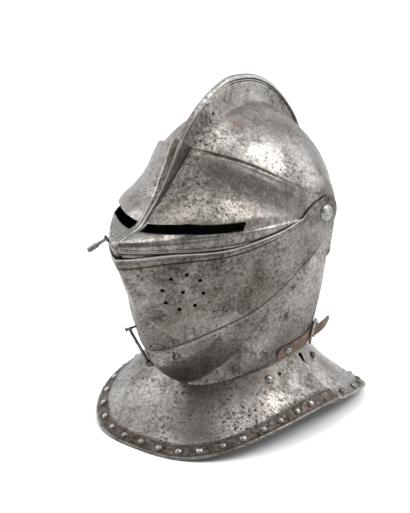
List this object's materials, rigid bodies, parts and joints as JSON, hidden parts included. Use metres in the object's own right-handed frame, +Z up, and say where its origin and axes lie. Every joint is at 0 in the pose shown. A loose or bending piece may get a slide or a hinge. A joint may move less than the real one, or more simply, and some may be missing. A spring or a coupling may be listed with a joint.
{
  "type": "close helmet",
  "caption": "Steel close helmet of armet form with a tall comb, hinged visor and upper bevor, side hook, buckled strap and a flared gorget, standing on its rim.",
  "frame": {"origin": "on the floor, at the middle of the bounding box's underside", "axes": "+X to the wearer's left, -Y the way the wearer faces, +Z up; the plates of the head turn about a line along X"},
  "size_m": [0.237, 0.3254, 0.356],
  "materials": {
    "head_steel": "aged and pitted, grey-brown, with brighter rubbed places",
    "gorget_steel": "aged and pitted, with a dark brown sunken border",
    "fitting_steel": "aged, rubbed bright on the high places",
    "strap_leather": "worn brown leather"
  },
  "bodies": {
    "helmet": {"skull": "head_steel", "lower_bevor": "head_steel", "gorget_front": "gorget_steel", "gorget_rear": "gorget_steel", "pivot_rivet_left": "fitting_steel", "pivot_rivet_right": "fitting_steel", "hook_rivet": "fitting_steel", "strap_front": "strap_leather", "strap_rear": "strap_leather", "strap_rivet_front": "fitting_steel", "strap_rivet_rear": "fitting_steel", "buckle_frame": "fitting_steel", "buckle_prong": "fitting_steel", "side_rivet_left": "fitting_steel", "side_rivet_right": "fitting_steel", "nape_rivet_1": "fitting_steel", "nape_rivet_2": "fitting_steel", "nape_rivet_3": "fitting_steel", "nape_rivet_4": "fitting_steel", "front_border_rivet_01": "fitting_steel", "front_border_rivet_02": "fitting_steel", "front_border_rivet_03": "fitting_steel", "front_border_rivet_04": "fitting_steel", "front_border_rivet_05": "fitting_steel", "front_border_rivet_06": "fitting_steel", "front_border_rivet_07": "fitting_steel", "front_border_rivet_08": "fitting_steel", "front_border_rivet_09": "fitting_steel", "front_border_rivet_10": "fitting_steel", "front_border_rivet_11": "fitting_steel", "front_border_rivet_12": "fitting_steel", "front_border_rivet_13": "fitting_steel", "front_border_rivet_14": "fitting_steel", "front_border_rivet_15": "fitting_steel", "front_border_rivet_16": "fitting_steel", "front_border_rivet_17": "fitting_steel", "front_border_rivet_18": "fitting_steel", "front_border_rivet_19": "fitting_steel", "rear_border_rivet_01": "fitting_steel", "rear_border_rivet_02": "fitting_steel", "rear_border_rivet_03": "fitting_steel", "rear_border_rivet_04": "fitting_steel", "rear_border_rivet_05": "fitting_steel", "rear_border_rivet_06": "fitting_steel", "rear_border_rivet_07": "fitting_steel", "rear_border_rivet_08": "fitting_steel", "rear_border_rivet_09": "fitting_steel", "rear_border_rivet_10": "fitting_steel", "rear_border_rivet_11": "fitting_steel", "rear_border_rivet_12": "fitting_steel", "rear_border_rivet_13": "fitting_steel", "rear_border_rivet_14": "fitting_steel"},
    "upper_bevor": {"ventail": "head_steel", "hook_stud": "fitting_steel"},
    "visor": {"visor": "head_steel", "lifting_peg": "fitting_steel"},
    "hook": {"hook": "fitting_steel"}
  },
  "joints": [
    {"name": "ventail_hinge", "type": "hinge", "parent": "helmet", "child": "upper_bevor", "pos_m": [0, 0.03855, 0.2275], "axis": [-1, 0, 0], "range_deg": [0, 45]},
    {"name": "visor_hinge", "type": "hinge", "parent": "upper_bevor", "child": "visor", "pos_m": [0, 0.03855, 0.2275], "axis": [-1, 0, 0], "range_deg": [0, 45]},
    {"name": "hook_hinge", "type": "hinge", "parent": "helmet", "child": "hook", "pos_m": [-0.014, -0.0967, 0.0799], "axis": [-0.364, -0.6514, -0.6657], "range_deg": [0, 60]}
  ]
}
